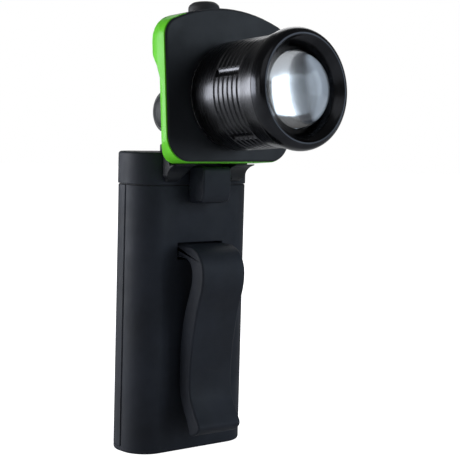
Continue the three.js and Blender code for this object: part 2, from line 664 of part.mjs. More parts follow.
function pushButton() {
  const flangeR = BUTTON_R + 0.7;
  const flangeBottom = BUTTON_FLANGE_TOP - 1.2;
  const profile = [
    [0, flangeBottom], [flangeR, flangeBottom], [flangeR, BUTTON_FLANGE_TOP], [BUTTON_R, BUTTON_FLANGE_TOP],
    [BUTTON_R, BUTTON_TOP - 1.9], [BUTTON_R - 0.6, BUTTON_TOP - 0.9], [BUTTON_R - 2, BUTTON_TOP - 0.2],
    [0, BUTTON_TOP],
  ];
  return part('push_button', turned(profile, 'z', [0, BUTTON_Y, 0], 32), RUBBER);
}

function switchBody() {
  const base = 24.2;
  const half = 3.5;
  const body = box(-half, half, BUTTON_Y - half, BUTTON_Y + half, base, base + 3.8);
  const plunger = rod(1.7, base + 3, base + 4.6, 'z', [0, BUTTON_Y, 0]);
  return part('switch_body', body.add(plunger), BLACK_PLASTIC);
}

// The switch stands on a small bracket board under the panel.
function switchBoard() {
  return part('switch_board', box(-11, 11, -14, -4.2, 22.6, 24), BOARD_GREEN);
}

function hingeBlock() {
  const half = ARM_IN - 0.9;
  const knuckle = rod(KNUCKLE_R - 0.4, -half, half, 'x', [0, 0, 0], 32);
  const web = box(-half, half, REAR_LOWER_Y + 0.3, 0, -6.6, 6.6);
  const bore = rod(PIVOT_PIN_R + 0.08, -20, 20, 'x', [0, 0, 0], MEDIUM_ROUND);
  const holes = HINGE_SCREW_Z.map((z) => rod(1.05, REAR_LOWER_Y, REAR_LOWER_Y + 4.6, 'y', [0, 0, z]));
  return part('hinge_block', cut(join(knuckle, web), bore, ...holes), BLACK_PLASTIC);
}

function hingeScrews() {
  return HINGE_SCREW_Z.map((z, i) => {
    const seatY = REAR_LOWER_Y - HEAD_WALL - 0.3;
    const head = rod(1.9, seatY - 1.4, seatY, 'y', [0, 0, z]);
    const shank = rod(0.95, seatY - 0.7, seatY + 6.1, 'y', [0, 0, z]);
    return part(`hinge_screw_${i + 1}`, head.add(shank), STEEL);
  });
}

// Friction washers between the yoke's arms and the hinge block.
function frictionWasher(side, sign) {
  const [near, far] = [ARM_IN - 0.7, ARM_IN - 0.15];
  const span = sign > 0 ? [near, far] : [-far, -near];
  return part(`friction_washer_${side}`, ring(PIVOT_PIN_R + 0.1, 6.6, ...span, 'x', [0, 0, 0], 32), BRASS);
}

function headScrews() {
  return HEAD_SCREWS.map(([x, z, seat], i) => {
    const top = seat + 1.6;
    const length = top - FACE_Y - 1.2;
    return part(`head_screw_${i + 1}`, screw('y', [x, top, z], 2.05, 1.4, 0.95, length), STEEL);
  });
}

// ---------------------------------------------------------------- light engine, in the head's frame

const LIGHT_AXIS = [0, 0, LENS_Z];
const PEDESTAL_TOP_Y = -31;

function guideTube() {
  const flangeY = COVER_BACK_Y + 0.6;
  const profile = [
    [16.2, flangeY + 1.8], [19.6, flangeY + 1.8], [19.6, flangeY], [GUIDE_R, flangeY], [GUIDE_R, -39],
    [16.9, -39], [16.9, -40.4], [GUIDE_R, -40.4], [GUIDE_R, -42], [16.2, -42], [16.2, flangeY + 1.8],
  ];
  return part('guide_tube', turned(profile, 'y', LIGHT_AXIS, ROUND), BLACK_ANODISED);
}

const focusRing = () => (
  part('focus_ring_seal', ring(16.95, 17.7, -40.2, -39.2, 'y', LIGHT_AXIS, ROUND), RUBBER)
);

function ledPedestal() {
  const profile = [
    [0, -14.6], [15.9, -14.6], [15.9, -16.2], [9, -16.2], [8.2, PEDESTAL_TOP_Y], [0, PEDESTAL_TOP_Y],
  ];
  return part('led_pedestal', turned(profile, 'y', LIGHT_AXIS, 32), BARE_ALUMINIUM);
}

const ledBoard = () => (
  part('led_board', rod(8, PEDESTAL_TOP_Y - 1.7, PEDESTAL_TOP_Y - 0.3, 'y', LIGHT_AXIS, 24), BOARD_WHITE)
);

function ledEmitter() {
  const y = PEDESTAL_TOP_Y - 2;
  const base = box(-2.5, 2.5, y - 0.9, y, LENS_Z - 2.5, LENS_Z + 2.5);
  const profile = [[0, -0.5], [2, -0.5], [1.85, -1.5], [1.2, -2.3], [0, -2.6]].map(([r, h]) => [r, y + h]);
  return part('led_emitter', base.add(turned(profile, 'y', LIGHT_AXIS, 20)), EMITTER_YELLOW);
}

const driverBoard = () => part('driver_board', box(-15, 15, -13.9, -12.6, -13, 19), BOARD_GREEN);

// ---------------------------------------------------------------- zoom barrel, in the head's frame

// Distances behind the rim become y in the head's frame.
const behindRim = (profile) => profile.map(([r, s]) => [r, RIM_Y + s]);

function grooveProfile() {
  const points = [];
  for (let i = 0; i < GROOVE_COUNT; i += 1) {
    const s = GROOVE_FIRST + i * GROOVE_STEP;
    points.push([BARREL_R, s - GROOVE_W / 2], [BARREL_R - GROOVE_DEPTH, s], [BARREL_R, s + GROOVE_W / 2]);
  }
  return points;
}

function focusTube() {
  const shoulder = 8.7;
  const band = GROOVE_FIRST - 1.1;
  const round = 2.4;
  const rearEdge = [0.33, 0.67, 1].map((t) => {
    const a = t * Math.PI / 2;
    return [BARREL_R - round * (1 - Math.cos(a)) * 0.55, BARREL_REAR - round * (1 - Math.sin(a))];
  });
  const profile = behindRim([
    [15.6, BEZEL_LEN + 0.3], [BEZEL_R - 0.35, BEZEL_LEN + 0.3], [BARREL_R, band], ...grooveProfile(),
    [BARREL_R, BARREL_REAR - round], ...rearEdge, [BARREL_BORE, BARREL_REAR], [BARREL_BORE, shoulder + 1.6],
    [13.2, shoulder + 1.6], [13.2, shoulder], [15.6, shoulder], [15.6, BEZEL_LEN + 0.3],
  ]);
  let body = turned(profile, 'y', LIGHT_AXIS, ROUND);
  const reach = BARREL_R - FLUTE_DEPTH + FLUTE_R;
  for (const degrees of FLUTE_ANGLES) {
    const a = THREE.MathUtils.degToRad(degrees);
    const centre = [reach * Math.cos(a), RIM_Y, LENS_Z + reach * Math.sin(a)];
    body = body.subtract(rod(FLUTE_R, FLUTE_START, FLUTE_END, 'y', centre, 24));
  }
  return part('focus_tube', body, BLACK_ANODISED);
}

function bezel() {
  const profile = behindRim([
    [13.35, BEZEL_LEN], [BEZEL_R - 0.3, BEZEL_LEN], [BEZEL_R, BEZEL_LEN - 0.5], [BEZEL_R, 2.8],
    [BEZEL_R - 0.3, 1.6], [BEZEL_R - 1, 0.6], [RIM_R + 0.25, 0], [RIM_R - 0.35, 0.1],
    [RIM_R - 0.9, 0.7], [13.35, 4.2], [13.35, BEZEL_LEN],
  ]);
  return part('bezel', turned(profile, 'y', LIGHT_AXIS, ROUND), BLACK_ANODISED);
}

function lensSeal() {
  const [front, back] = [RIM_Y + BEZEL_LEN + 0.3, RIM_Y + LENS_SEAT - 0.1];
  return part('lens_seal', ring(13.5, 15.2, front, back, 'y', LIGHT_AXIS, ROUND), RUBBER);
}

function lens() {
  const steps = 8;
  const dome = [];
  for (let i = 0; i < steps; i += 1) {
    const a = (i / steps) * Math.PI / 2;
    dome.push([LENS_R * Math.cos(a), LENS_SEAT - 0.4 - LENS_DOME * Math.sin(a)]);
  }
  dome.push([0, LENS_SEAT - 0.4 - LENS_DOME]);
  const shoulder = LENS_SEAT + 0.2;
  const profile = behindRim([[0, 8.4], [15.3, 8.4], [15.3, shoulder], [LENS_R, shoulder], ...dome]);
  return part('lens', turned(profile, 'y', LIGHT_AXIS, ROUND), CLEAR_GLASS);
}

// ---------------------------------------------------------------- assembly

const flashlight = new THREE.Group();

const handle = new THREE.Group();
handle.add(caseFront(), caseRear(), ...caseScrews());
handle.add(cell('left', -CELL_X), cell('right', CELL_X));
handle.add(contactStrip(), contactSpring('left', -CELL_X), contactSpring('right', CELL_X));
handle.add(terminalBoard(), powerModule());
handle.add(topCap(), capSeal(), thumbLatch());
handle.add(clipPin(), beltClip());
handle.add(yoke(), ...yokeScrews(), pivotPin(), pinCap('left', -1), pinCap('right', 1));

const head = new THREE.Group();
head.add(frontCover(), rearShell(), topPanel(), pushButton(), switchBody(), switchBoard());
head.add(hingeBlock(), ...hingeScrews(), ...headScrews());
head.add(frictionWasher('left', -1), frictionWasher('right', 1));
head.add(guideTube(), focusRing(), ledPedestal(), ledBoard(), ledEmitter(), driverBoard());
head.add(focusTube(), bezel(), lensSeal(), lens());
head.position.set(0, PIVOT_Y, PIVOT_Z);
head.rotation.x = -REST_TILT;

flashlight.add(handle, head);

export default flashlight;
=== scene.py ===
"""Looks for a flat-handled flashlight with a tilting zoom head: fine surfaces, materials, light and camera.

Everything is in metres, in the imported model's frame. The head's pieces are made in the head's own frame, with
its origin on the tilt pivot and the lens towards -y, and are then turned with HEAD.
"""
import json
import math
from math import cos, pi, radians, sin

import bmesh
import bpy
from mathutils import Matrix, Vector


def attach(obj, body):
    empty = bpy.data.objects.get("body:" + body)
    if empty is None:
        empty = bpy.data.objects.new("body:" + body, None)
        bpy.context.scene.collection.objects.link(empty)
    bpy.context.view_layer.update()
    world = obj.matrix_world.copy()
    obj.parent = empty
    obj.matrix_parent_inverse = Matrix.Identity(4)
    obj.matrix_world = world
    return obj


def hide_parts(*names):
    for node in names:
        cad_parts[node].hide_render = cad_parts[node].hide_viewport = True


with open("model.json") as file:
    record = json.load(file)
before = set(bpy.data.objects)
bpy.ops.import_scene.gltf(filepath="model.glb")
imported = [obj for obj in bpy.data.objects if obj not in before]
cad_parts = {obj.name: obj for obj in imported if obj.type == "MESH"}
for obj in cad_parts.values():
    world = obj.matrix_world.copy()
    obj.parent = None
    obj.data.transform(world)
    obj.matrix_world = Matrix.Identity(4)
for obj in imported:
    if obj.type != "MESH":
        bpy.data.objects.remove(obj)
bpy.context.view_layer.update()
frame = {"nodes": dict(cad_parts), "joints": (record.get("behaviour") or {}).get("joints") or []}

MM = 0.001
JOINTS = {joint["name"]: joint for joint in frame["joints"]}

# ---------------------------------------------------------------- places and sizes

PIVOT = Vector(JOINTS["head_tilt"]["pos_m"])
FORWARD = Vector(JOINTS["zoom_slide"]["axis"])
TILT = math.atan2(FORWARD.z, -FORWARD.y)
HEAD = Matrix.Translation(PIVOT) @ Matrix.Rotation(-TILT, 4, "X")

# The light's axis and the rim, in the head's frame.
LENS_Z = 3.91 * MM
RIM_Y = -60.06 * MM
RIM_R = 18.4 * MM
BEZEL_R = 20.9 * MM
BEZEL_LEN = 4.8 * MM
BARREL_R = 19.3 * MM
BARREL_BORE = 17.8 * MM
BARREL_REAR = 38.55 * MM
GROOVE_COUNT = 6
GROOVE_FIRST = 13.5 * MM
GROOVE_STEP = 2.36 * MM
GROOVE_W = 0.85 * MM
GROOVE_DEPTH = 0.4 * MM
FLUTE_R = 2.3 * MM
FLUTE_DEPTH = 0.8 * MM
FLUTE_SPAN = (13.5 * MM, 25.3 * MM)
FLUTE_HALF_ARC = radians(5.1)
FLUTE_STEPS = 8
FLUTE_ANGLES = [radians(a) for a in (160, 232, 304, 16, 88)]
GUIDE_R = 17.6 * MM
LENS_SHOULDER = 8.7 * MM
BEZEL_BORE = 13.35 * MM
SEAT_BORE = 13.2 * MM
RECESS_R = 15.6 * MM
LENS_FLANGE_R = 15.2 * MM
LENS_R = 13 * MM
LENS_SEAT = 5.9 * MM
LENS_DOME = 9.9 * MM
LENS_BACK = 8.4 * MM

BUTTON_Y = -7.6 * MM
BUTTON_R = 5.7 * MM
BUTTON_TOP = 39.4 * MM
BUTTON_BASE = 31.3 * MM
BUTTON_FLANGE_R = BUTTON_R + 0.7 * MM


# ---------------------------------------------------------------- meshes

def new_piece(name, bm, material, body, replaces=(), smooth=40):
    """A bmesh as an object that rides on a body and stands for CAD nodes."""
    mesh = bpy.data.meshes.new(name)
    bmesh.ops.recalc_face_normals(bm, faces=bm.faces)
    bm.to_mesh(mesh)
    bm.free()
    mesh.shade_smooth()
    mesh.set_sharp_from_angle(angle=radians(smooth))
    mesh.materials.append(material)
    piece = bpy.data.objects.new(name, mesh)
    bpy.context.scene.collection.objects.link(piece)
    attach(piece, body)
    if replaces:
        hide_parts(*replaces)
    return piece


def soften(piece, width, angle=32, segments=3, clamp=False):
    """Rounds the edges that are sharper than an angle and keeps the large faces flat."""
    bevel = piece.modifiers.new("edge", "BEVEL")
    bevel.width = width
    bevel.segments = segments
    bevel.limit_method = "ANGLE"
    bevel.angle_limit = radians(angle)
    bevel.use_clamp_overlap = clamp
    bevel.harden_normals = True
    weight = piece.modifiers.new("normals", "WEIGHTED_NORMAL")
    weight.keep_sharp = True
    weight.weight = 80
    return piece


def dressed(node, body, material, width=0.25 * MM, angle=32, segments=3, clamp=False):
    """A copy of a CAD node with its flat faces joined and its edges rounded, which stands for it."""
    bm = bmesh.new()
    bm.from_mesh(frame["nodes"][node].data)
    bmesh.ops.remove_doubles(bm, verts=bm.verts, dist=2e-6)
    bmesh.ops.dissolve_limit(bm, angle_limit=radians(0.6), verts=bm.verts, edges=bm.edges)
    piece = new_piece(node + ".look", bm, material, body, [node], smooth=180)
    return soften(piece, width, angle, segments, clamp)


def filleted(points, steps=5):
    """A profile of (r, h, fillet) points with each corner rounded by its fillet."""
    line = []
    last = len(points) - 1
    for i, (r, h, fillet) in enumerate(points):
        here = Vector((r, h))
        if fillet == 0 or i in (0, last):
            line.append(here)
            continue
        before = Vector(points[i - 1][:2]) - here
        after = Vector(points[i + 1][:2]) - here
        reach = min(fillet, before.length * 0.48, after.length * 0.48)
        start = here + before.normalized() * reach
        end = here + after.normalized() * reach
        for k in range(steps + 1):
            t = k / steps
            line.append(start * (1 - t) ** 2 + here * 2 * t * (1 - t) + end * t ** 2)
    return line


def lathe(profile, angles, place, radius_at=None):
    """Turns (r, h) points about a local y axis. radius_at(r, h, angle) may change a radius."""
    bm = bmesh.new()
    rings = []
    for r, h in profile:
        if r < 1e-7:
            rings.append([bm.verts.new(place @ Vector((0, h, 0)))])
            continue
        row = []
        for a in angles:
            reach = radius_at(r, h, a) if radius_at else r
            row.append(bm.verts.new(place @ Vector((reach * cos(a), h, reach * sin(a)))))
        rings.append(row)
    for low, high in zip(rings, rings[1:]):
        count = max(len(low), len(high))
        if count == 1:
            continue
        for i in range(count):
            j = (i + 1) % count
            if len(low) == 1:
                bm.faces.new((low[0], high[i], high[j]))
            elif len(high) == 1:
                bm.faces.new((low[i], high[0], low[j]))
            else:
                bm.faces.new((low[i], high[i], high[j], low[j]))
    return bm


def closed_lathe(profile, angles, place, radius_at=None):
    """A lathe whose profile closes on itself."""
    bm = lathe([*profile, profile[0]], angles, place, radius_at)
    bmesh.ops.remove_doubles(bm, verts=bm.verts, dist=1e-7)
    return bm


def around(count, extra=()):
    """Evenly spaced angles with a few more put in, in order."""
    even = {round(2 * pi * i / count, 9) for i in range(count)}
    return sorted(even | {round(a % (2 * pi), 9) for a in extra})


LIGHT_AXIS = HEAD @ Matrix.Translation((0, 0, LENS_Z))


def behind_rim(points):
    """Profile points (r, distance behind the rim, fillet) as (r, y, fillet)."""
    return [(r, RIM_Y + s, fillet) for r, s, fillet in points]


# ---------------------------------------------------------------- materials

class Nodes:
    """A small builder for a material's node tree."""

    def __init__(self, name):
        self.material = bpy.data.materials.new(name)
        self.material.use_nodes = True
        self.tree = self.material.node_tree
        self.shader = self.tree.nodes["Principled BSDF"]
        self.place = self.add("ShaderNodeTexCoord").outputs["Object"]

    def add(self, kind, **inputs):
        node = self.tree.nodes.new(kind)
        for key, value in inputs.items():
            name = key.replace("_", " ")
            if hasattr(value, "is_output"):
                self.tree.links.new(value, node.inputs[name])
            else:
                node.inputs[name].default_value = value
        return node

    def link(self, output, target):
        self.tree.links.new(output, target)

    def set(self, **values):
        for key, value in values.items():
            self.shader.inputs[key.replace("_", " ")].default_value = value

    def noise(self, scale, detail=3.0, roughness=0.55, stretch=None):
        place = self.place
        if stretch:
            mapping = self.add("ShaderNodeMapping", Vector=place)
            mapping.inputs["Scale"].default_value = stretch
            place = mapping.outputs["Vector"]
        fine = {"Detail": detail, "Roughness": roughness}
        return self.add("ShaderNodeTexNoise", Vector=place, Scale=scale, **fine).outputs["Fac"]

    def ramp(self, value, low, high, start=0.35, end=0.65):
        """Maps a 0 to 1 value between two colours or two numbers."""
        node = self.add("ShaderNodeValToRGB", Fac=value)
        elements = node.color_ramp.elements
        elements[0].position = start
        elements[1].position = end
        elements[0].color = low if hasattr(low, "__len__") else (low, low, low, 1)
        elements[1].color = high if hasattr(high, "__len__") else (high, high, high, 1)
        return node.outputs["Color"]

    def mix(self, factor, a, b):
        node = self.tree.nodes.new("ShaderNodeMix")
        node.data_type = "RGBA"
        for socket, value in (("Factor_Float", factor), ("A_Color", a), ("B_Color", b)):
            target = next(s for s in node.inputs if s.identifier == socket)
            if hasattr(value, "is_output"):
                self.link(value, target)
            else:
                target.default_value = value
        return next(s for s in node.outputs if s.identifier == "Result_Color")

    def bump(self, height, strength, distance, normal=None):
        node = self.add("ShaderNodeBump", Height=height, Strength=strength, Distance=distance)
        if normal is not None:
            self.link(normal, node.inputs["Normal"])
        return node.outputs["Normal"]


def shade(color, factor):
    return (*(min(1, c * factor) for c in color), 1)


def moulded_plastic(name, color, rough, grain=2600, relief=0.5, spread=0.25, ior=1.5):
    """Moulded plastic: spark-eroded grain, faint flow mottling and slightly uneven gloss."""
    n = Nodes(name)
    mottle = n.noise(45, 4)
    n.link(n.ramp(mottle, shade(color, 1 - spread), shade(color, 1 + spread)), n.shader.inputs["Base Color"])
    fine = n.noise(grain, 2, 0.6)
    smudge = n.noise(120, 5, 0.6)
    n.link(n.ramp(smudge, rough - 0.05, rough + 0.07, 0.3, 0.7), n.shader.inputs["Roughness"])
    grainy = n.bump(fine, relief, 0.03 * MM)
    n.link(n.bump(mottle, 0.12, 0.08 * MM, grainy), n.shader.inputs["Normal"])
    n.set(IOR=ior)
    return n.material


def anodised(name, color, rough):
    """Black anodised aluminium: fine turning lines round the axis, faint rub marks."""
    n = Nodes(name)
    lines = n.noise(900, 2, 0.5, stretch=(0.15, 6.0, 0.15))
    cloud = n.noise(90, 4)
    n.link(n.ramp(cloud, shade(color, 0.8), shade(color, 1.25)), n.shader.inputs["Base Color"])
    n.link(n.ramp(lines, rough - 0.05, rough + 0.06), n.shader.inputs["Roughness"])
    n.link(n.bump(lines, 0.25, 0.01 * MM), n.shader.inputs["Normal"])
    n.set(Metallic=1.0)
    return n.material


def machined(name, color, rough):
    """Bare metal with machining marks and a little tarnish."""
    n = Nodes(name)
    lines = n.noise(1500, 2, 0.6, stretch=(1.0, 0.2, 1.0))
    cloud = n.noise(160, 4)
    n.link(n.ramp(cloud, shade(color, 0.82), shade(color, 1.1)), n.shader.inputs["Base Color"])
    n.link(n.ramp(lines, rough - 0.06, rough + 0.08), n.shader.inputs["Roughness"])
    n.link(n.bump(lines, 0.2, 0.01 * MM), n.shader.inputs["Normal"])
    n.set(Metallic=1.0)
    return n.material


GLOW_BACK = -36 * MM


def silver_with_painted_glow(name, color, rough, glow):
    """Satin inside of the light engine.

    A painted bluish glow, stronger on the -x side, is painted light: an emission on a part that is no lamp,
    standing in for the daylight that a real lens gathers. It ends at
    GLOW_BACK, since the tube shows between the barrel and the face behind it.
    """
    n = Nodes(name)
    cloud = n.noise(160, 4)
    n.link(n.ramp(cloud, shade(color, 0.85), shade(color, 1.05)), n.shader.inputs["Base Color"])
    n.link(n.ramp(cloud, rough - 0.05, rough + 0.05), n.shader.inputs["Roughness"])
    axes = n.add("ShaderNodeSeparateXYZ", Vector=n.place).outputs
    side = n.add("ShaderNodeMapRange", Value=axes["X"])
    side.inputs["From Min"].default_value = -GUIDE_R
    side.inputs["From Max"].default_value = GUIDE_R
    # Painted light: the painted glow is brightest on the -x side and dims to 0.3 of it towards +x.
    lit = n.ramp(side.outputs["Result"], shade(glow, 1.0), shade(glow, 0.3), 0.1, 0.8)
    depth = n.add("ShaderNodeMapRange", Value=axes["Y"])
    depth.inputs["From Min"].default_value = GLOW_BACK - 1 * MM
    depth.inputs["From Max"].default_value = GLOW_BACK
    # Painted light: the painted glow goes into the emission colour and fades out behind GLOW_BACK.
    n.link(n.mix(depth.outputs["Result"], lit, (0, 0, 0, 1)), n.shader.inputs["Emission Color"])
    n.set(Metallic=0.5, Emission_Strength=1.0)
    return n.material


def soft_rubber(name, color):
    """Matte rubber with a fine stipple."""
    n = Nodes(name)
    stipple = n.noise(3200, 2)
    dust = n.noise(220, 5)
    n.link(n.ramp(dust, shade(color, 0.8), shade(color, 1.6)), n.shader.inputs["Base Color"])
    n.link(n.ramp(dust, 0.62, 0.8), n.shader.inputs["Roughness"])
    n.link(n.bump(stipple, 0.4, 0.03 * MM), n.shader.inputs["Normal"])
    return n.material


def optical_glass(name):
    """Clear moulded lens glass, with a trace of unevenness in its polish."""
    n = Nodes(name)
    wave = n.noise(60, 2)
    n.link(n.bump(wave, 0.04, 0.05 * MM), n.shader.inputs["Normal"])
    n.link(n.ramp(n.noise(300, 3), 0.1, 0.15), n.shader.inputs["Roughness"])
    n.set(Base_Color=(0.97, 0.985, 1.0, 1), Transmission_Weight=1.0, IOR=1.5)
    return n.material


def phosphor(name):
    """Yellow phosphor under a clear silicone dome."""
    n = Nodes(name)
    speck = n.noise(2500, 3)
    n.link(n.ramp(speck, (0.78, 0.56, 0.06, 1), (0.95, 0.75, 0.16, 1)), n.shader.inputs["Base Color"])
    n.link(n.ramp(speck, 0.12, 0.22), n.shader.inputs["Roughness"])
    n.set(Coat_Weight=0.8)
    return n.material


def board_mask(name, color):
    """Circuit board: solder mask over faint tracks."""
    n = Nodes(name)
    weave = n.noise(1400, 2)
    tracks = n.add("ShaderNodeTexVoronoi", Vector=n.place, Scale=260.0)
    tracks.feature = "DISTANCE_TO_EDGE"
    edge = tracks.outputs["Distance"]
    n.link(n.ramp(edge, shade(color, 1.5), shade(color, 0.9), 0.02, 0.06), n.shader.inputs["Base Color"])
    n.link(n.ramp(weave, 0.3, 0.42), n.shader.inputs["Roughness"])
    n.link(n.bump(edge, 0.3, 0.02 * MM), n.shader.inputs["Normal"])
    return n.material


BLACK_CASE = moulded_plastic("black_case", (0.013, 0.016, 0.0235), 0.56, ior=1.3)
BLACK_COVER = moulded_plastic(
    "black_cover", (0.0105, 0.0123, 0.0155), 0.46, grain=3000, relief=0.35, ior=1.33)
GREEN_SHELL = moulded_plastic(
    "green_shell", (0.14, 0.66, 0.022), 0.42, grain=3000, relief=0.25, spread=0.06, ior=1.36)
BARREL_BLACK = anodised("barrel_black", (0.062, 0.063, 0.068), 0.27)
BEZEL_BLACK = anodised("bezel_black", (0.032, 0.033, 0.037), 0.2)
# Painted light: the guide tube and LED pedestal glow through a painted emission.
TUBE_SILVER_PAINTED_GLOW = silver_with_painted_glow("tube_silver_painted_glow", (0.78, 0.79, 0.8), 0.3, (0.5, 0.59, 0.7))
STEEL = machined("plated_steel", (0.5, 0.5, 0.51), 0.3)
BRASS = machined("brass", (0.72, 0.52, 0.22), 0.32)
RUBBER = soft_rubber("black_rubber", (0.02, 0.02, 0.021))
GLASS = optical_glass("lens_glass")
EMITTER = phosphor("emitter_phosphor")
BOARD = board_mask("board_green", (0.02, 0.16, 0.06))
# Painted light: the LED board glows through the same painted emission.
BOARD_WHITE_PAINTED_GLOW = silver_with_painted_glow("board_white", (0.8, 0.8, 0.78), 0.4, (0.55, 0.65, 0.78))
WRAP = moulded_plastic("cell_wrap", (0.03, 0.09, 0.3), 0.35, grain=1800, relief=0.2, spread=0.1)


# ---------------------------------------------------------------- handle, cap and clip

def handle_pieces():
    dressed("case_front", "handle", BLACK_CASE, 0.3 * MM)
    dressed("case_rear", "handle", BLACK_CASE, 0.3 * MM)
    dressed("top_cap", "handle", BLACK_CASE, 0.3 * MM)
    dressed("cap_seal", "handle", RUBBER, 0.05 * MM)
    dressed("thumb_latch", "latch", BLACK_CASE, 0.7 * MM, segments=4)
    dressed("belt_clip", "clip", BLACK_CASE, 0.8 * MM, angle=50, segments=4)
    dressed("yoke", "handle", BLACK_COVER, 0.4 * MM)
    for side in ("left", "right"):
        dressed(f"pin_cap_{side}", "handle", BLACK_COVER, 0.1 * MM)
        dressed(f"cell_{side}", "handle", WRAP, 0.1 * MM)
        dressed(f"contact_spring_{side}", "handle", STEEL, 0.02 * MM, angle=80)
    for i in range(1, 5):
        dressed(f"case_screw_{i}", "handle", STEEL, 0.08 * MM)
    for i in range(1, 3):
        dressed(f"yoke_screw_{i}", "handle", STEEL, 0.08 * MM)
    dressed("contact_strip", "handle", BRASS, 0.05 * MM)
    dressed("terminal_board", "handle", BOARD, 0.08 * MM)
    dressed("power_module", "handle", BOARD, 0.2 * MM)
    dressed("clip_pin", "handle", STEEL, 0.1 * MM)
    dressed("pivot_pin", "handle", STEEL, 0.1 * MM)


# ---------------------------------------------------------------- head

def head_pieces():
    dressed("front_cover", "head", BLACK_COVER, 0.25 * MM)
    dressed("rear_shell", "head", GREEN_SHELL, 0.25 * MM)
    dressed("top_panel", "head", BLACK_COVER, 0.25 * MM, clamp=True)
    dressed("hinge_block", "head", BLACK_COVER, 0.3 * MM)
    for side in ("left", "right"):
        dressed(f"friction_washer_{side}", "head", BRASS, 0.05 * MM)
    for i in range(1, 5):
        dressed(f"head_screw_{i}", "head", STEEL, 0.08 * MM)
    for i in range(1, 3):
        dressed(f"hinge_screw_{i}", "head", STEEL, 0.08 * MM)
    dressed("switch_body", "head", BLACK_COVER, 0.1 * MM)
    dressed("switch_board", "head", BOARD, 0.05 * MM)
    dressed("driver_board", "head", BOARD, 0.05 * MM)
    dressed("guide_tube", "head", TUBE_SILVER_PAINTED_GLOW, 0.1 * MM)
    dressed("focus_ring_seal", "head", RUBBER, 0.05 * MM)
    dressed("led_pedestal", "head", TUBE_SILVER_PAINTED_GLOW, 0.1 * MM)
    dressed("led_board", "head", BOARD_WHITE_PAINTED_GLOW, 0.05 * MM)
    dressed("led_emitter", "head", EMITTER, 0.03 * MM)
    push_button()


def push_button():
    """Rubber button: a collar, straight sides and a shallow dished top."""
    place = HEAD @ Matrix.Translation((0, BUTTON_Y, 0)) @ Matrix.Rotation(radians(90), 4, "X")
    top = BUTTON_TOP
    bottom = BUTTON_BASE - 1.2 * MM
    profile = filleted([
        (0, bottom, 0), (BUTTON_FLANGE_R, bottom, 0.2 * MM),
        (BUTTON_FLANGE_R, BUTTON_BASE, 0.2 * MM), (BUTTON_R, BUTTON_BASE, 0.2 * MM),
        (BUTTON_R, top - 1.5 * MM, 1.6 * MM), (BUTTON_R - 1.9 * MM, top - 0.15 * MM, 1.2 * MM),
        (2.2 * MM, top - 0.25 * MM, 1 * MM), (0, top - 0.45 * MM, 0),
    ], 8)
    bm = lathe(profile, around(96), place)
    new_piece("push_button.look", bm, RUBBER, "button", ["push_button"])


# ---------------------------------------------------------------- zoom barrel

def groove_points():
    points = []
    for i in range(GROOVE_COUNT):
        s = GROOVE_FIRST + i * GROOVE_STEP
        points += [
            (BARREL_R, s - GROOVE_W / 2, 0.12 * MM), (BARREL_R - GROOVE_DEPTH, s - GROOVE_W * 0.3, 0.1 * MM),
            (BARREL_R - GROOVE_DEPTH, s + GROOVE_W * 0.3, 0.1 * MM), (BARREL_R, s + GROOVE_W / 2, 0.12 * MM),
        ]
    return points


def barrel_radius(r, h, angle):
    """Mills the five hollow flutes across the grooves."""
    behind = h - RIM_Y
    if r < BARREL_R - 1.2 * MM or not FLUTE_SPAN[0] <= behind <= FLUTE_SPAN[1]:
        return r
    reach = BARREL_R - FLUTE_DEPTH + FLUTE_R
    off = min(abs((angle - flute + pi) % (2 * pi) - pi) for flute in FLUTE_ANGLES)
    across = reach * sin(off)
    if off > 1 or abs(across) >= FLUTE_R:
        return r
    return min(r, reach * cos(off) - math.sqrt(FLUTE_R ** 2 - across ** 2))


def focus_tube():
    back = LENS_SHOULDER + 1.6 * MM
    band = GROOVE_FIRST - 1.1 * MM
    step = 0.01 * MM
    start, end = FLUTE_SPAN
    ringed = sorted([
        *groove_points(), (BARREL_R, start - step, 0), (BARREL_R, start + step, 0),
        (BARREL_R, end - step, 0), (BARREL_R, end + step, 0),
    ], key=lambda point: point[1])
    profile = filleted(behind_rim([
        (RECESS_R, BEZEL_LEN + 0.3 * MM, 0), (BEZEL_R - 0.35 * MM, BEZEL_LEN + 0.3 * MM, 0.25 * MM),
        (BARREL_R, band - 0.3 * MM, 1.5 * MM), *ringed, (BARREL_R, BARREL_REAR - 2.6 * MM, 1 * MM),
        (BARREL_R - 1.2 * MM, BARREL_REAR, 1.6 * MM), (BARREL_BORE, BARREL_REAR, 0.1 * MM),
        (BARREL_BORE, back, 0), (SEAT_BORE, back, 0), (SEAT_BORE, LENS_SHOULDER, 0),
        (RECESS_R, LENS_SHOULDER, 0),
    ]))
    shares = [i / FLUTE_STEPS for i in range(-FLUTE_STEPS, FLUTE_STEPS + 1)]
    edges = [flute + FLUTE_HALF_ARC * share for flute in FLUTE_ANGLES for share in shares]
    bm = closed_lathe(profile, around(192, edges), LIGHT_AXIS, barrel_radius)
    new_piece("focus_tube.look", bm, BARREL_BLACK, "zoom", ["focus_tube"], smooth=35)


def bezel():
    profile = filleted(behind_rim([
        (BEZEL_BORE, BEZEL_LEN, 0), (BEZEL_R - 0.1 * MM, BEZEL_LEN, 0.25 * MM), (BEZEL_R, 2.9 * MM, 1.5 * MM),
        (BEZEL_R - 0.7 * MM, 0.8 * MM, 1.2 * MM), (RIM_R + 0.25 * MM, 0, 0.25 * MM),
        (RIM_R - 0.35 * MM, 0.05 * MM, 0.25 * MM), (RIM_R - 0.9 * MM, 0.7 * MM, 0.5 * MM),
        (BEZEL_BORE, 4.2 * MM, 0.2 * MM),
    ]))
    bm = closed_lathe(profile, around(192), LIGHT_AXIS)
    new_piece("bezel.look", bm, BEZEL_BLACK, "zoom", ["bezel"], smooth=50)


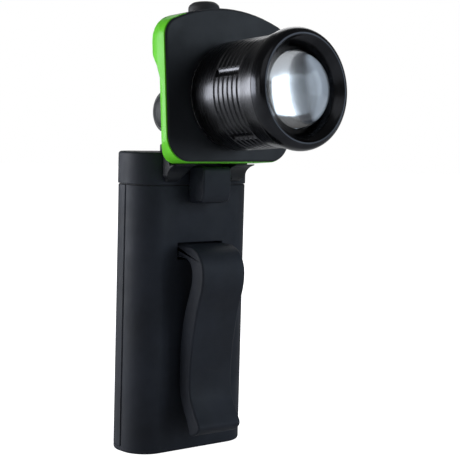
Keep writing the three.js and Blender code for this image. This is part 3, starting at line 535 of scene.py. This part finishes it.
def lens():
    back = RIM_Y + LENS_BACK
    seat = RIM_Y + LENS_SEAT + 0.2 * MM
    foot = RIM_Y + LENS_SEAT - 0.4 * MM
    profile = [(0, back), (LENS_FLANGE_R, back), (LENS_FLANGE_R, seat), (LENS_R, seat)]
    steps = 40
    for i in range(steps):
        a = i / steps * pi / 2
        profile.append((LENS_R * cos(a), foot - LENS_DOME * sin(a)))
    profile.append((0, foot - LENS_DOME))
    bm = lathe(profile, around(160), LIGHT_AXIS)
    new_piece("lens.look", bm, GLASS, "zoom", ["lens"], smooth=40)


def zoom_pieces():
    focus_tube()
    bezel()
    lens()
    dressed("lens_seal", "zoom", RUBBER, 0.05 * MM)


# ---------------------------------------------------------------- stage, light and camera

AZIMUTH = radians(-40.78)
PITCH = radians(4.56)
ROLL = radians(1.52)
AIM = Vector((13.61, -11.74, 80.74)) * MM
DISTANCE = 503.4 * MM
FLOOR_RADIUS = 3
FOCAL_PER_WIDTH = 1351.5 / 460


def camera():
    right = Vector((cos(AZIMUTH), sin(AZIMUTH), 0))
    back = Vector((sin(AZIMUTH) * cos(PITCH), -cos(AZIMUTH) * cos(PITCH), sin(PITCH)))
    up = back.cross(right)
    x = right * cos(ROLL) + up * sin(ROLL)
    y = up * cos(ROLL) - right * sin(ROLL)
    data = bpy.data.cameras.new("camera")
    data.sensor_width = 36
    data.lens = data.sensor_width * FOCAL_PER_WIDTH
    data.clip_start = 0.02
    data.clip_end = 20
    seen = bpy.data.objects.new("camera", data)
    bpy.context.scene.collection.objects.link(seen)
    turn = Matrix((x, y, back)).transposed()
    seen.matrix_world = Matrix.Translation(AIM + back * DISTANCE) @ turn.to_4x4()
    bpy.context.scene.camera = seen


def studio_white(tree, light, shade_level):
    """Emission that the camera sees as white and that lights the object only dimly."""
    path = tree.nodes.new("ShaderNodeLightPath")
    level = tree.nodes.new("ShaderNodeMix")
    level.inputs["A"].default_value = shade_level
    level.inputs["B"].default_value = 1.0
    tree.links.new(path.outputs["Is Camera Ray"], level.inputs["Factor"])
    tree.links.new(level.outputs["Result"], light.inputs["Strength"])


def floor():
    """A large pale floor that runs out into the white of the studio."""
    bm = bmesh.new()
    bmesh.ops.create_circle(bm, cap_ends=True, segments=96, radius=FLOOR_RADIUS)
    mesh = bpy.data.meshes.new("floor")
    bm.to_mesh(mesh)
    bm.free()
    n = Nodes("floor")
    n.link(n.ramp(n.noise(3, 2), 0.86, 0.9), n.shader.inputs["Base Color"])
    n.set(Roughness=0.8)
    glow = n.add("ShaderNodeEmission")
    studio_white(n.tree, glow, 0.05)
    mixed = n.add("ShaderNodeAddShader")
    n.link(n.shader.outputs["BSDF"], mixed.inputs[0])
    n.link(glow.outputs["Emission"], mixed.inputs[1])
    n.link(mixed.outputs["Shader"], n.tree.nodes["Material Output"].inputs["Surface"])
    mesh.materials.append(n.material)
    ground = bpy.data.objects.new("floor", mesh)
    bpy.context.scene.collection.objects.link(ground)


def area_light(name, azimuth, elevation, distance, size, brightness, color=(1, 1, 1)):
    """A soft box round the head, at degrees left of +y and above level, of a given surface brightness."""
    a, e = radians(azimuth), radians(elevation)
    aim = Vector((0, -0.03, 0.11))
    place = aim + distance * Vector((-sin(a) * cos(e), cos(a) * cos(e), sin(e)))
    data = bpy.data.lights.new(name, "AREA")
    data.shape = "RECTANGLE"
    data.size, data.size_y = size
    data.energy = brightness * pi * size[0] * size[1]
    data.color = color
    lamp = bpy.data.objects.new(name, data)
    bpy.context.scene.collection.objects.link(lamp)
    lamp.rotation_mode = "QUATERNION"
    lamp.rotation_quaternion = (aim - place).to_track_quat("-Z", "Y")
    lamp.location = place


COOL = (0.75, 0.87, 1.0)


def lights():
    world = bpy.data.worlds.new("studio")
    world.use_nodes = True
    background = world.node_tree.nodes["Background"]
    background.inputs["Color"].default_value = (1, 1, 1, 1)
    studio_white(world.node_tree, background, 0.12)
    bpy.context.scene.world = world
    area_light("left_box", 46, -9, 1.0, (0.9, 0.85), 8.5, (0.93, 0.95, 1.0))
    area_light("side_box", 95, 0, 1.1, (0.6, 0.8), 1.0)
    area_light("front_fill", 150, 35, 1.4, (1.2, 0.8), 0.45)
    area_light("right_fill", -139, 12, 1.3, (1.1, 1.1), 2.1, COOL)
    area_light("back_fill", -50, 35, 1.3, (0.8, 0.8), 2.0)


# ---------------------------------------------------------------- scene

bpy.context.scene.view_settings.view_transform = "Standard"
handle_pieces()
head_pieces()
zoom_pieces()
floor()
lights()
camera()
